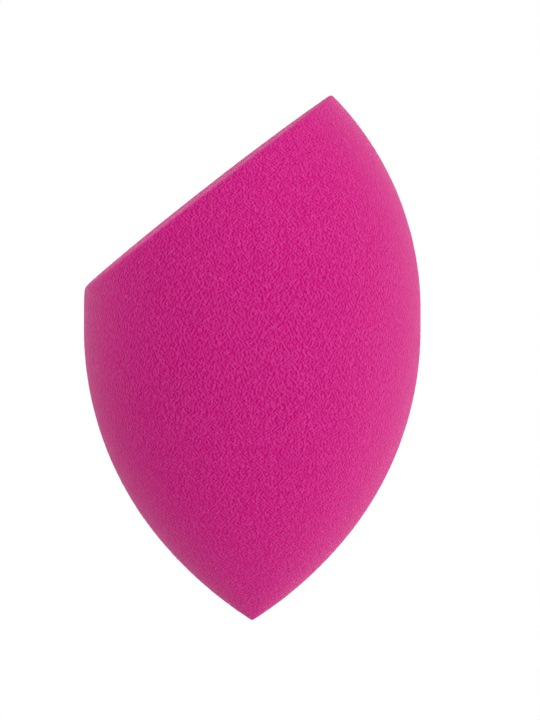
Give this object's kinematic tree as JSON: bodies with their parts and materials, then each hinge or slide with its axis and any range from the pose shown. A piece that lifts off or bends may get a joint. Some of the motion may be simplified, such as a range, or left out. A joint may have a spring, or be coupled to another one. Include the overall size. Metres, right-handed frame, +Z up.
{
  "type": "makeup sponge",
  "caption": "Teardrop makeup sponge of soft fine-celled foam with a pointed tip, sliced flat across its round end to press and blend powder or cream.",
  "frame": {"origin": "centre of the slanted flat face that the sponge stands on", "axes": "+Z up, square to the flat face; +X the way the tip leans; +Y square to the plane of symmetry"},
  "size_m": [0.0489, 0.04, 0.0437],
  "materials": {
    "foam": "matte magenta foam with fine open cells"
  },
  "bodies": {
    "root": {"sponge_body": "foam"}
  },
  "joints": []
}
